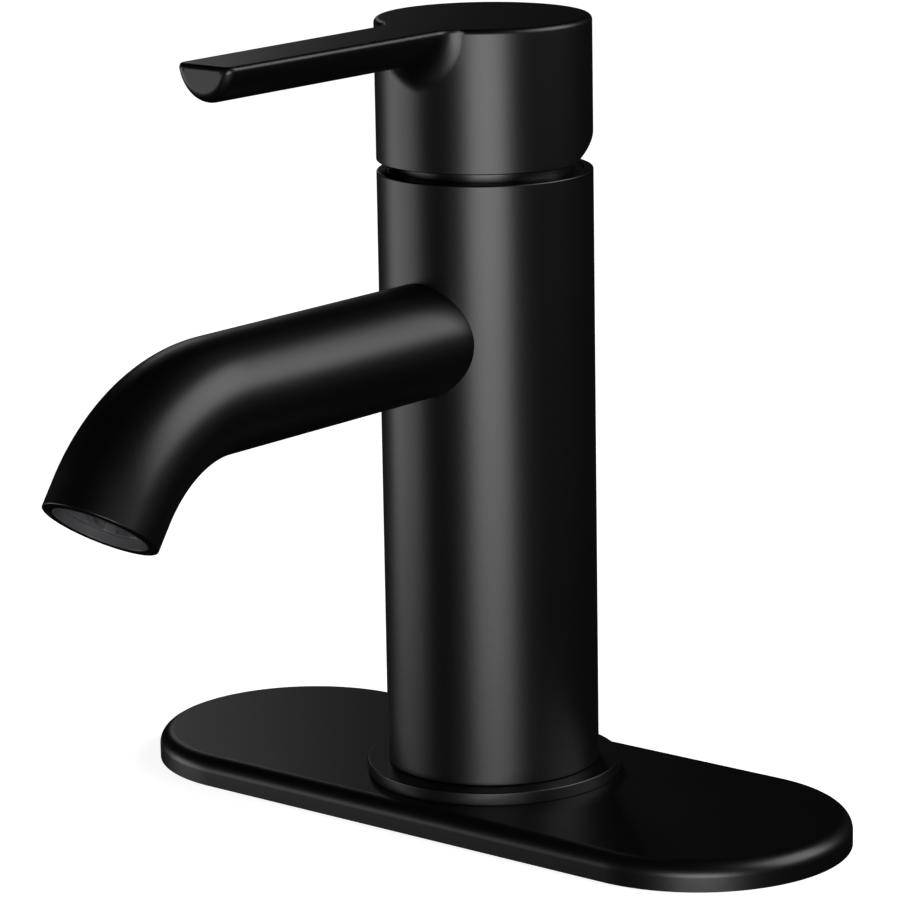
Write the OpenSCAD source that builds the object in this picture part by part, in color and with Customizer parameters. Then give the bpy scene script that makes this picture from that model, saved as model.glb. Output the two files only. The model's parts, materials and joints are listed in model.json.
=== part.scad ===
// Single-lever basin mixer with a deck plate.
// Millimetres. +Z up, the column stands on the origin, the spout points along -Y,
// and z = 0 is the sink deck.

/* [Deck plate] */
// Length of the deck plate, end to end
plate_l = 171.4; // [140:0.2:260]
// Width of the deck plate
plate_w = 64.4; // [63:0.2:90]
// Height of the deck plate above the sink deck
plate_t = 6.1; // [5:0.1:10]
// Rounding of the deck plate's upper edge
plate_round = 3.2; // [0.5:0.1:4]
// Thickness of the deck plate's top wall
plate_wall = 2.4; // [1:0.1:3]
// Width of the deck plate's rim where it meets the deck
plate_rim = 3.6; // [2:0.1:6]

/* [Base ring] */
// How far the base ring stands out from the column
ring_overhang = 4.5; // [2:0.1:4.8]
// Thickness of the base ring
ring_t = 2.75; // [2.4:0.05:5]

/* [Column] */
// Outer diameter of the column
body_d = 45; // [44:0.5:54]
// Wall of the column's outer tube
body_wall = 2; // [1.2:0.1:2.2]
// Height of the column's top edge above the sink deck
body_top = 135.8; // [128:0.1:200]
// Rounding of the column's top edge
body_round = 0.3; // [0.2:0.1:1]

/* [Spout] */
// Outer diameter of the spout tube
spout_d = 23.8; // [20:0.2:29]
// Wall of the spout tube
spout_wall = 2.4; // [1.8:0.1:3]
// Height of the spout's axis above the sink deck
spout_z = 103; // [90:0.1:108]
// Straight run from the column's axis to the bend
spout_run = 85; // [60:0.5:150]
// Radius of the bend at the tube's centre line
bend_r = 35.8; // [30:0.2:60]
// Angle that the bend turns down through
bend_angle = 55; // [30:0.2:75]
// Straight tail between the bend and the outlet
tail_l = 5.9; // [3:0.1:20]

/* [Aerator] */
// Length of the aerator inside the spout
aerator_l = 9; // [8:0.5:12]
// Depth of the aerator's face inside the outlet
aerator_recess = 1.8; // [1:0.1:3]
// Pitch of the aerator's screen
screen_pitch = 1.5; // [1.2:0.1:3]

/* [Handle] */
// Height of the handle's round head
head_h = 29.5; // [28:0.5:45]
// Gap between the column and the head
head_gap = 2.2; // [1.6:0.1:3]
// Side wall of the head
head_wall = 2.5; // [1.5:0.1:3]
// Top wall of the head
head_top_wall = 4; // [2:0.5:6]
// Width of the half-round lever bar
lever_w = 16; // [10:0.5:20]
// Distance from the column's axis to the lever's tip
lever_reach = 85.4; // [50:0.2:120]
// Rounding of the lever's long upper edges
lever_round = 1.1; // [0.3:0.1:2]
// Slope of the relief cut under the back of the head
relief_angle = 23.5; // [20:0.5:25]
// Distance from the column's axis back to where the relief cut starts
relief_start = 0.9; // [0:0.1:3]

/* [Bonnet] */
// Outer diameter of the bonnet's neck, which shows below the head
bonnet_neck_d = 35.6; // [35:0.1:38]
// Height of the bonnet's neck above the column's top edge
bonnet_neck_h = 2.9; // [1:0.1:3.2]

/* [Cartridge] */
// Outer diameter of the ceramic cartridge
cartridge_d = 35; // [32:0.5:36]
// Depth of the cartridge's seat below the column's top
seat_depth = 39.1; // [38:0.1:44]
// Depth of the lever's pivot below the column's top
pivot_depth = 11.6; // [10.5:0.1:12]
// Width of the square stem
stem_w = 8; // [7:0.5:9]
// Diameter of the pivot pin
pin_d = 4; // [3:0.5:5]

/* [Connections] */
// Diameter of each supply hose's threaded hole
inlet_d = 9; // [8:0.5:10]
// Depth of each supply hose's threaded hole
inlet_depth = 12; // [8:1:16]
// Diameter of the mounting stud's threaded hole
stud_d = 6.8; // [5:0.2:8.5]
// Depth of the mounting stud's threaded hole
stud_depth = 14; // [8:1:16]

/* [Fits] */
// Radial clearance of pieces that slide into each other
slip = 0.15; // [0.1:0.05:0.3]
// Radial clearance round the pivot pin
pin_slip = 0.05; // [0.02:0.01:0.1]

/* [Hidden] */
$fn = 64;

far = 400;           // longer than anything that is cut
over = 1;            // how far a cutter runs past the face that it cuts
snug = 0.1;          // clearance of pieces that press or screw together
squeeze = 0.02;      // what a seal leaves free of the wall that it presses on

// Heights above the deck
ring_top = plate_t + ring_t;
seat_z = body_top - seat_depth;
pivot_z = body_top - pivot_depth;
core_top = body_top - 4.6;
lip_top = core_top + 1.5;
nut_top = body_top - 0.5;
head_z = body_top + head_gap;
head_top = head_z + head_h;
housing_top = core_top - 4.5;

// Radii of the column and what is in it
body_r = body_d / 2;
ring_r = body_r + ring_overhang;
shell_in = body_r - body_wall;
core_r = shell_in - slip;
cartridge_r = cartridge_d / 2;
cup_r = cartridge_r + slip;
nut_r = cup_r + 0.6;
nut_top_r = nut_r - 1.1;
bonnet_neck_r = bonnet_neck_d / 2;
spigot_r = core_r - 2.3;
spigot_z = 2;
waist_r = core_r - 5.2;

// Spout's outlet
spout_r = spout_d / 2;
spout_in = spout_r - spout_wall;
socket_step = 0.4;
aerator_r = spout_in + socket_step - snug;
aerator_in = aerator_r - 0.5;
screen_r = aerator_in - 0.65;
insert_t = 1.6;
screen_t = 0.6;
regulator_t = 2.5;
washer_t = 1.5;

// Cartridge, from its seat upwards
base_t = 4.5;
cup_groove_z = seat_z + 2;
cup_groove_h = 1.8;
cup_groove_depth = 1.6;
disc_seal_t = 0.8;
disc_t = 4;
film = 0.04;         // water film between the two ceramic discs
housing_in = cartridge_r - 2.2;
fixed_r = housing_in - slip;
fixed_z = seat_z + base_t + disc_seal_t;
moving_z = fixed_z + disc_t + film;
carrier_z = moving_z + disc_t;
carrier_t = 4.6;
ball_r = 3.3;
ball_z = carrier_z + ball_r + 0.3;
ball_arm = pivot_z - ball_z;
lift_angle = relief_angle - 0.5;
disc_travel = ball_arm * sin(lift_angle);
disc_y = disc_travel / 2;
moving_r = housing_in - 2 * slip - disc_travel / 2;
socket_r = ball_r + 0.2;
neck_r = cartridge_r - 2.5;
neck_in = neck_r - 1.9;
guide_z = carrier_z + carrier_t + 0.4;
guide_top = body_top - 3;
guide_shoulder = housing_top - 2.3;
guide_slot = stem_w + 9.4;
stem_low = ball_z + 5.3;
stem_top = head_z + 20;

// Water ways in the core and the cartridge: two inlets at the front, the outlet on the axis
port_r = 2.2;
outlet_r = 3.2;
port_angle = 48;
port_land = 0.35;
port_reach = moving_r - disc_travel / 2 - port_r - port_land;
inlets = [for (side = [-1, 1]) port_reach * [side * sin(port_angle), -cos(port_angle)]];
way_step = 0.2;      // how much wider the core's ways are than the cartridge's ports
seal_w = 1;
port_seal_t = 1.5;
stud_y = 10;
chamber_cut = 1.1;
chamber_z = [spout_z - spout_in - 8, spout_z + spout_in + 2];
outlet_way_r = outlet_r + way_step;
outlet_way_z = min(chamber_z[0] + outlet_way_r + 0.5, seat_z - 2 * outlet_way_r);
o_ring_r = 1;
o_ring_h = 1.8 * o_ring_r;
o_groove_depth = 1.4 * o_ring_r;
base_seal_r = (ring_r + spigot_r) / 2;
core_ring_z = [chamber_z[0] - 4, chamber_z[1] + 4];
waist_z = [spigot_z + inlet_depth + 6, core_ring_z[0] - 9];

// Handle
head_in = body_r - head_wall;
head_ceiling = head_top - head_top_wall;
lever_r = lever_w / 2;
sleeve_t = 1.1;
socket_w = stem_w + 2 * sleeve_t;
boss_r = socket_w * 0.5 * sqrt(2) + 1.8;
boss_z = head_z + 7.5;
screw_z = head_z + 15;
screw_r = 2.5;
plug_r = 3.2;
plug_t = 2.6;

// A 2D outline of a ring's section with its outer corners rounded.
module ring_section(r_out, r_in, h, top = 0, bottom = 0) {
    difference() {
        translate([r_in, 0]) square([r_out - r_in, h]);
        if (top > 0) translate([r_out - top, h - top]) corner_waste(top);
        if (bottom > 0) translate([r_out - bottom, bottom]) mirror([0, 1]) corner_waste(bottom);
    }
}

module corner_waste(r) {
    difference() {
        square(r + over);
        circle(r);
    }
}

module ring(r_out, r_in, h, top = 0, bottom = 0) {
    rotate_extrude() ring_section(r_out, r_in, h, top, bottom);
}

// A ring with plain chamfers on its outer edges.
module chamfered_ring(r_out, r_in, h, top, bottom = 0) {
    rotate_extrude()
        polygon([
            [r_in, 0], [r_out - bottom, 0], [r_out, bottom],
            [r_out, h - top], [r_out - top, h], [r_in, h]
        ]);
}

// A slab with round ends, its upper edge rounded all the way round.
module round_end_slab(l, w, h, round_r) {
    span = l - w;
    for (side = [-1, 1])
        translate([side * span / 2, 0, 0]) ring(w / 2, 0, h, top = round_r);
    translate([-span / 2, 0, 0]) rotate([90, 0, 90]) linear_extrude(span)
        for (side = [0, 1]) mirror([side, 0]) ring_section(w / 2, 0, h, top = round_r);
}

module drill(r, z0, z1) {
    translate([0, 0, z0]) cylinder(r = r, h = z1 - z0);
}

// ---- Base ----

module deck_plate() {
    cavity_h = plate_t - plate_wall;
    color("#17171a") difference() {
        round_end_slab(plate_l, plate_w, plate_t, plate_round);
        translate([0, 0, -over])
            round_end_slab(plate_l - 2 * plate_rim, plate_w - 2 * plate_rim, cavity_h + over, 0);
        drill(spigot_r + slip, -over, plate_t + over);
    }
}

module deck_gasket() {
    inset = 2 * (plate_rim + slip);
    color("#2b2b2b") difference() {
        round_end_slab(plate_l - inset, plate_w - inset, plate_t - plate_wall, 0);
        drill(spigot_r + 4 * slip, -over, plate_t);
    }
}

module base_ring() {
    color("#17171a") translate([0, 0, plate_t]) difference() {
        chamfered_ring(ring_r, spigot_r + slip, ring_t, top = 0.25);
        translate([0, 0, -over])
            ring(base_seal_r + o_ring_r, base_seal_r - o_ring_r, o_ring_h + over);
    }
}

module base_ring_seal() {
    color("#262626") translate([0, 0, plate_t])
        ring(base_seal_r + o_ring_r - snug, base_seal_r - o_ring_r + snug, o_ring_h);
}

// ---- Water way and column ----

module waterway_core() {
    thread_relief = 3;
    color("#b9954f") difference() {
        union() {
            drill(spigot_r, spigot_z, ring_top + over);
            drill(core_r, ring_top, waist_z[0]);
            drill(waist_r, waist_z[0] - over, waist_z[1] + over);
            drill(core_r, waist_z[1], core_top);
        }
        drill(cup_r, seat_z, core_top + over);
        drill(nut_r + slip, housing_top - thread_relief, core_top + over);
        for (p = inlets) translate(p) {
            drill(inlet_d / 2, spigot_z - over, spigot_z + inlet_depth);
            drill(port_r + way_step, spigot_z + inlet_depth - over, seat_z + over);
        }
        translate([0, stud_y, 0]) drill(stud_d / 2, spigot_z - over, spigot_z + stud_depth);
        outlet_way();
        translate([0, 0, chamber_z[0]])
            ring(core_r + over, core_r - chamber_cut, chamber_z[1] - chamber_z[0]);
        for (z = core_ring_z)
            translate([0, 0, z - o_ring_r]) ring(core_r + over, core_r - o_groove_depth, 2 * o_ring_r);
    }
}

// From the seat's outlet port down the axis, and out through the back of the core.
module outlet_way() {
    drill(outlet_way_r, outlet_way_z, seat_z + over);
    translate([0, 0, outlet_way_z]) rotate([-90, 0, 0]) cylinder(r = outlet_way_r, h = core_r + over);
}

module core_o_rings() {
    color("#262626") for (z = core_ring_z)
        translate([0, 0, z - o_ring_h / 2])
            ring(shell_in - squeeze, core_r - o_groove_depth + snug, o_ring_h, top = 0.5, bottom = 0.5);
}

module body_shell() {
    color("#17171a") difference() {
        union() {
            translate([0, 0, ring_top])
                ring(body_r, shell_in, body_top - ring_top, top = body_round, bottom = 0.3);
            translate([0, 0, core_top]) ring(shell_in + over, nut_r + 0.5, lip_top - core_top);
        }
        translate([0, 0, spout_z]) rotate([90, 0, 0]) cylinder(r = spout_in, h = body_r + over);
    }
}

// ---- Spout ----

// Puts the bend's centre at the origin, with X pointing up, Y forward and Z along the deck plate.
module at_bend() {
    translate([0, -spout_run, spout_z - bend_r]) rotate([0, -90, 180]) children();
}

// Puts the outlet's centre at the origin, with Z pointing out of the spout.
module at_outlet() {
    at_bend() rotate(bend_angle) translate([bend_r, tail_l, 0])
        rotate([-90, 0, 0]) rotate([0, 0, -90]) children();
}

// A rod of radius r along the spout's centre line, from the column's axis to the bend's end.
module bent_rod(r) {
    at_bend() {
        translate([bend_r, 0, 0]) rotate([90, 0, 0]) cylinder(r = r, h = spout_run);
        rotate_extrude(angle = bend_angle) translate([bend_r, 0]) circle(r);
    }
}

// A bent tube with a turned collar on its end, which holds the aerator.
module spout() {
    collar_lap = 0.5;
    collar_step = 0.02;
    collar_l = tail_l + collar_lap;
    socket_l = aerator_l + washer_t;
    color("#17171a") difference() {
        union() {
            bent_rod(spout_r);
            at_outlet() translate([0, 0, -collar_l]) cylinder(r = spout_r + collar_step, h = collar_l);
        }
        bent_rod(spout_in);
        at_outlet() translate([0, 0, -socket_l])
            cylinder(r = spout_in + socket_step, h = socket_l + over);
        cylinder(r = body_r, h = far);
    }
}

module aerator_housing() {
    cavity_r = screen_r + slip;
    color("#55565a") at_outlet() difference() {
        translate([0, 0, -aerator_l]) cylinder(r = aerator_r, h = aerator_l);
        translate([0, 0, -aerator_recess]) cylinder(r = aerator_in, h = aerator_recess + over);
        translate([0, 0, -aerator_l - over]) cylinder(r = cavity_r, h = aerator_l + over);
    }
}

// The face that shows in the outlet: a rim with two parallel bars.
module aerator_insert() {
    rim_w = 0.8;
    bar_w = 1.3;
    bar_gap = 6;
    bar_angle = 60;
    color("#6a6b6e") at_outlet() translate([0, 0, -aerator_recess - insert_t]) {
        chamfered_ring(screen_r, screen_r - rim_w, insert_t, top = 0.2);
        intersection() {
            cylinder(r = screen_r - rim_w / 2, h = insert_t);
            rotate(bar_angle) for (side = [-1, 1])
                translate([-screen_r, side * bar_gap / 2 - bar_w / 2, 0])
                    cube([2 * screen_r, bar_w, insert_t]);
        }
    }
}

module aerator_screen() {
    hole = screen_pitch * 0.55;
    count = floor(screen_r / screen_pitch);
    color("#8d8f92") at_outlet() translate([0, 0, -aerator_recess - insert_t - screen_t]) difference() {
        cylinder(r = screen_r, h = screen_t);
        for (i = [-count:count], j = [-count:count])
            if (norm([i, j]) * screen_pitch < screen_r - screen_pitch)
                translate([i * screen_pitch - hole / 2, j * screen_pitch - hole / 2, -over])
                    cube([hole, hole, screen_t + 2 * over]);
    }
}

module flow_regulator() {
    jets = 8;
    jet_r = 0.8;
    regulator_z = -aerator_recess - insert_t - screen_t - regulator_t;
    color("#d9d9d2") at_outlet() translate([0, 0, regulator_z]) difference() {
        cylinder(r = screen_r, h = regulator_t);
        for (k = [0:jets - 1]) rotate([0, 0, k * 360 / jets])
            translate([screen_r / 2, 0, -over]) cylinder(r = jet_r, h = regulator_t + 2 * over);
    }
}

module aerator_washer() {
    color("#262626") at_outlet() translate([0, 0, -aerator_l - washer_t])
        ring(aerator_r, aerator_r - 2.2, washer_t, top = 0.3, bottom = 0.3);
}

// ---- Cartridge ----

// Every port, or what lies round it, made wider by grow.
module port_holes(z0, z1, grow = 0) {
    for (p = inlets) translate(p) drill(port_r + grow, z0, z1);
    drill(outlet_r + grow, z0, z1);
}

module cartridge_base() {
    color("#e4e1d8") difference() {
        drill(cartridge_r - 3 * snug, seat_z, seat_z + base_t);
        port_holes(seat_z - over, seat_z + base_t + over);
        port_holes(seat_z - over, seat_z + port_seal_t, grow = way_step + seal_w + snug);
        translate([0, 0, cup_groove_z])
            ring(cartridge_r + over, cartridge_r - cup_groove_depth, cup_groove_h);
    }
}

module cartridge_seal() {
    seal_h = cup_groove_h - 2 * snug;
    color("#262626") translate([0, 0, cup_groove_z + snug])
        ring(cup_r - squeeze, cartridge_r - cup_groove_depth + snug, seal_h, top = 0.4, bottom = 0.4);
}

module port_seals() {
    color("#262626") difference() {
        port_holes(seat_z, seat_z + port_seal_t, grow = way_step + seal_w);
        port_holes(seat_z - over, seat_z + port_seal_t + over, grow = way_step);
    }
}

module disc_seal() {
    color("#262626") difference() {
        drill(fixed_r, seat_z + base_t, fixed_z);
        port_holes(seat_z, fixed_z + over);
    }
}

module fixed_disc() {
    color("#efe9dc") difference() {
        drill(fixed_r, fixed_z, fixed_z + disc_t);
        port_holes(fixed_z - over, fixed_z + disc_t + over);
    }
}

// The pocket in its underside joins the inlets to the outlet when the disc slides forward.
module moving_disc() {
    pocket_r = port_reach - port_r - 2 * port_land;
    color("#f3eee2") difference() {
        translate([0, disc_y, 0]) drill(moving_r, moving_z, carrier_z);
        drill(pocket_r, moving_z - over, moving_z + disc_t / 2);
    }
}

module disc_carrier() {
    color("#c9c4b4") difference() {
        translate([0, disc_y, 0]) drill(moving_r, carrier_z, carrier_z + carrier_t);
        drill(socket_r, carrier_z - over, carrier_z + carrier_t + over);
    }
}

module cartridge_housing() {
    low_z = seat_z + base_t;
    color("#e4e1d8") difference() {
        union() {
            drill(cartridge_r, low_z, housing_top);
            drill(neck_r, housing_top - over, core_top);
        }
        drill(housing_in, low_z - over, guide_shoulder + snug);
        drill(neck_in, low_z, core_top + over);
    }
}

// Stops the handle before the water runs too hot.
module limit_ring() {
    ring_h = 1.2;
    gap_w = 3;
    gap_angle = 20;
    color("#b3201f") difference() {
        translate([0, 0, core_top]) ring(neck_r - 2 * snug, neck_in + snug, ring_h);
        rotate([0, 0, gap_angle]) translate([-gap_w / 2, -far, core_top - over])
            cube([gap_w, far, ring_h + 2 * over]);
    }
}

module retaining_nut() {
    slots = 6;
    slot_w = 4;
    slot_depth = 1.5;
    color("#c2a05a") difference() {
        union() {
            drill(nut_r, housing_top, core_top);
            drill(nut_top_r, core_top - over, nut_top);
        }
        drill(neck_r + 2 * snug, housing_top - over, nut_top + over);
        for (k = [0:slots - 1]) rotate([0, 0, k * 360 / slots])
            translate([0, -slot_w / 2, nut_top - slot_depth]) cube([far, slot_w, slot_depth + over]);
    }
}

// Screws onto the nut, and clamps the column's lip down onto the core.
module bonnet() {
    flange_top = body_top - snug;
    neck_top = body_top + bonnet_neck_h;
    neck_wall = 1.6;
    roof_t = 1.2;
    roof_in = neck_r - 1.5;
    bore_r = nut_top_r + snug;
    color("#17171a") difference() {
        union() {
            translate([0, 0, lip_top]) ring(core_r, 0, flange_top - lip_top);
            translate([0, 0, lip_top]) ring(bonnet_neck_r, 0, neck_top - lip_top, top = 0.8);
        }
        drill(bore_r, lip_top - over, nut_top + snug);
        drill(bonnet_neck_r - neck_wall, lip_top, neck_top - roof_t);
        drill(roof_in, lip_top, neck_top + over);
    }
}

// Turns in the housing with the handle, and holds the pivot pin.
module carriage() {
    color("#3a5f8f") difference() {
        union() {
            drill(housing_in - slip, guide_z, guide_shoulder);
            drill(neck_in - slip, guide_shoulder - over, guide_top);
        }
        translate([-stem_w / 2 - slip, -guide_slot / 2, guide_z - over])
            cube([stem_w + 2 * slip, guide_slot, far]);
        pin_rod(pin_d / 2, far);
    }
}

module pin_rod(r, l) {
    translate([0, 0, pivot_z]) rotate([0, 90, 0]) cylinder(r = r, h = l, center = true);
}

module pivot_pin() {
    pin_end = 1.5;       // how far the pin stops short of the housing's neck
    color("#a8acb0") pin_rod(pin_d / 2, 2 * (neck_in - pin_end));
}

// ---- Lever ----

module stem() {
    throat_r = ball_r - 0.8;
    color("#b9954f") difference() {
        union() {
            translate([-stem_w / 2, -stem_w / 2, stem_low]) cube([stem_w, stem_w, stem_top - stem_low]);
            drill(throat_r, ball_z, stem_low + over);
            translate([0, 0, ball_z]) sphere(ball_r);
        }
        pin_rod(pin_d / 2 + pin_slip, far);
    }
}

// Points along an arc, from one angle to another.
function arc(centre, r, a0, a1, steps) =
    [for (i = [0:steps]) centre + r * [cos(a0 + (a1 - a0) * i / steps), sin(a0 + (a1 - a0) * i / steps)]];

// The lever's section: a half-round bar, flat on top, its two long edges rounded.
module lever_section() {
    sink = 0.5;                               // how far the flat top lies below the bar's centre
    edge_steps = 8;
    belly_steps = 32;
    edge_y = -sink - lever_round;
    reach = lever_r - lever_round;
    edge_x = sqrt(reach * reach - edge_y * edge_y);
    meet = atan2(edge_y, edge_x);             // where the edge's rounding runs into the belly
    belly_step = (180 + 2 * meet) / belly_steps;
    translate([0, sink]) polygon(concat(
        arc([edge_x, edge_y], lever_round, 90, meet, edge_steps),
        arc([0, 0], lever_r, meet - belly_step, -180 - meet + belly_step, belly_steps - 2),
        arc([-edge_x, edge_y], lever_round, -180 - meet, -270, edge_steps)
    ));
}

module lever_bar() {
    translate([0, 0, head_top]) rotate([90, 0, 0]) linear_extrude(lever_reach) lever_section();
}

// Clears the column when the lever is lifted.
module relief() {
    translate([0, relief_start, head_z]) rotate([relief_angle, 0, 0])
        translate([-far / 2, 0, -far]) cube([far, far, far]);
}

module screw_hole(r, y0, y1) {
    translate([0, y1, screw_z]) rotate([90, 0, 0]) cylinder(r = r, h = y1 - y0);
}

module handle() {
    rib_w = 2 * screw_r + 4;
    rib_l = head_in + head_wall / 5;
    color("#17171a") difference() {
        union() {
            difference() {
                union() {
                    translate([0, 0, head_z]) ring(body_r, 0, head_h, top = 1.1, bottom = 0.2);
                    lever_bar();
                }
                drill(head_in, head_z - over, head_ceiling);
            }
            drill(boss_r, boss_z, head_ceiling + over);
            translate([-rib_w / 2, 0, screw_z - rib_w / 2]) cube([rib_w, rib_l, rib_w]);
        }
        translate([-socket_w / 2, -socket_w / 2, boss_z - over])
            cube([socket_w, socket_w, stem_top + 2 * snug - boss_z + over]);
        screw_hole(screw_r + snug, 0, far);
        screw_hole(plug_r, body_r - plug_t, far);
        relief();
    }
}

module handle_insert() {
    sleeve_w = socket_w - snug;
    sleeve_z = boss_z + 0.5;
    color("#8d8f92") difference() {
        translate([-sleeve_w / 2, -sleeve_w / 2, sleeve_z]) cube([sleeve_w, sleeve_w, stem_top - sleeve_z]);
        translate([-stem_w / 2, -stem_w / 2, boss_z]) cube([stem_w, stem_w, far]);
        screw_hole(screw_r + snug, 0, far);
    }
}

module set_screw() {
    screw_l = 10;
    hex_r = 1.45;
    hex_depth = 3;
    color("#a8acb0") difference() {
        screw_hole(screw_r, stem_w / 2, stem_w / 2 + screw_l);
        translate([0, stem_w / 2 + screw_l + over, screw_z]) rotate([90, 0, 0])
            cylinder(r = hex_r, h = hex_depth + over, $fn = 6);
    }
}

module index_plug() {
    color("#303236") intersection() {
        screw_hole(plug_r - snug, body_r - plug_t, body_r + over);
        cylinder(r = body_r - snug, h = far);
    }
}

deck_plate();
deck_gasket();
base_ring();
base_ring_seal();
waterway_core();
core_o_rings();
body_shell();
spout();
aerator_housing();
aerator_insert();
aerator_screen();
flow_regulator();
aerator_washer();
cartridge_base();
cartridge_seal();
port_seals();
disc_seal();
fixed_disc();
cartridge_housing();
limit_ring();
retaining_nut();
bonnet();
carriage();
pivot_pin();
moving_disc();
disc_carrier();
stem();
handle();
handle_insert();
set_screw();
index_plug();
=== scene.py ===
import json
import math

import bmesh
import bpy
from mathutils import Matrix, Vector


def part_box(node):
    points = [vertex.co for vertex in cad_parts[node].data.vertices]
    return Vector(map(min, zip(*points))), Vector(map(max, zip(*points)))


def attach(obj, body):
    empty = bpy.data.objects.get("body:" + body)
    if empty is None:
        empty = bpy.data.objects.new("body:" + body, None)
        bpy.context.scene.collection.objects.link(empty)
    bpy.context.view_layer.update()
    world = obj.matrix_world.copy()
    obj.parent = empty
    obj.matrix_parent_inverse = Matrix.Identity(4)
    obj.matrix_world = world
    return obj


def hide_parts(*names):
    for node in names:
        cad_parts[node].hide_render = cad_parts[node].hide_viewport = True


bl_info = {
    "name": "Single-lever basin mixer",
    "version": (1, 0, 0),
    "blender": (4, 5, 0),
    "location": "View3D > Sidebar > Mixer",
    "description": "Builds the finished pieces of a satin black basin mixer around its packed frame",
    "category": "Object",
}

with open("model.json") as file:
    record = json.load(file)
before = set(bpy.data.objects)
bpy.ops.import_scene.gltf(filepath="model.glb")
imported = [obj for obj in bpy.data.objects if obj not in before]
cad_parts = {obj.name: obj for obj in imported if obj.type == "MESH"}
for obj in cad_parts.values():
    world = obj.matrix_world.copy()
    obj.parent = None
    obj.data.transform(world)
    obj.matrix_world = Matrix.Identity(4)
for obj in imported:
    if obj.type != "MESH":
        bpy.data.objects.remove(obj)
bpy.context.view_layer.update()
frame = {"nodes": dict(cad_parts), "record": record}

MM = 0.001
SIDES = 160                 # sides of every large turned surface
TUBE_SIDES = 112            # sides of the spout
SMALL_SIDES = 64            # sides of bores and other small round features
TINY = 0.002 * MM           # how near two places must be to count as the same
OVER = 1 * MM               # how far a cutter runs past the face that it cuts
SMOOTH_ANGLE = math.radians(34)
MERGE = 0.001 * MM          # how near two vertices must be to become one
ROUND_STEPS = 8             # segments of a rounded corner in a section
BEND_STEPS = 44             # segments of the spout's bend
ROOT_ARC = math.radians(86)     # how far round its arc the lever's root fillet goes
ROOT_DEPTHS = (0.12 * MM, 1.5 * MM)     # depths in the head's wall at which the flare goes on

# ---------------------------------------------------------------------------
# Places taken from the frame, in metres
# ---------------------------------------------------------------------------

PLATE_LOW, PLATE_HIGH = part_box("deck_plate")
RING_LOW, RING_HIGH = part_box("base_ring")
SHELL_LOW, SHELL_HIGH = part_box("body_shell")
HANDLE_LOW, HANDLE_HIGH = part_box("handle")
BONNET_LOW, BONNET_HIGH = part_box("bonnet")
PLUG_LOW, PLUG_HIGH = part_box("index_plug")
SLEEVE_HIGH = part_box("handle_insert")[1]

BODY_R = SHELL_HIGH.x
HEAD_TOP = HANDLE_HIGH.z
SCREW_Z = (PLUG_LOW.z + PLUG_HIGH.z) / 2
SPOUT_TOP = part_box("spout")[1].z
SCREEN_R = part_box("aerator_screen")[1].x
HOUSING_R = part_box("aerator_housing")[1].x
OUTLET = next(m for m in frame["record"]["mounts"] if m["name"] == "water_outlet")
OUTLET_AT = Vector(OUTLET["pos_m"])
OUTLET_WAY = Vector(OUTLET["axis"]).normalized()
BEND_ANGLE = math.atan2(-OUTLET_WAY.z, -OUTLET_WAY.y)


# ---------------------------------------------------------------------------
# What a user would change
# ---------------------------------------------------------------------------

def length_property(name, description, default):
    return bpy.props.FloatProperty(
        name=name, description=description, default=default, min=0, precision=5,
        unit="LENGTH", subtype="DISTANCE")


def angle_property(name, description, degrees):
    return bpy.props.FloatProperty(
        name=name, description=description, default=math.radians(degrees),
        unit="ROTATION", subtype="ANGLE")


def colour_property(name, description, default):
    return bpy.props.FloatVectorProperty(
        name=name, description=description, default=default, size=3,
        min=0, max=1, subtype="COLOR")


def share_property(name, description, default):
    return bpy.props.FloatProperty(
        name=name, description=description, default=default, min=0, max=1, subtype="FACTOR")


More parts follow.
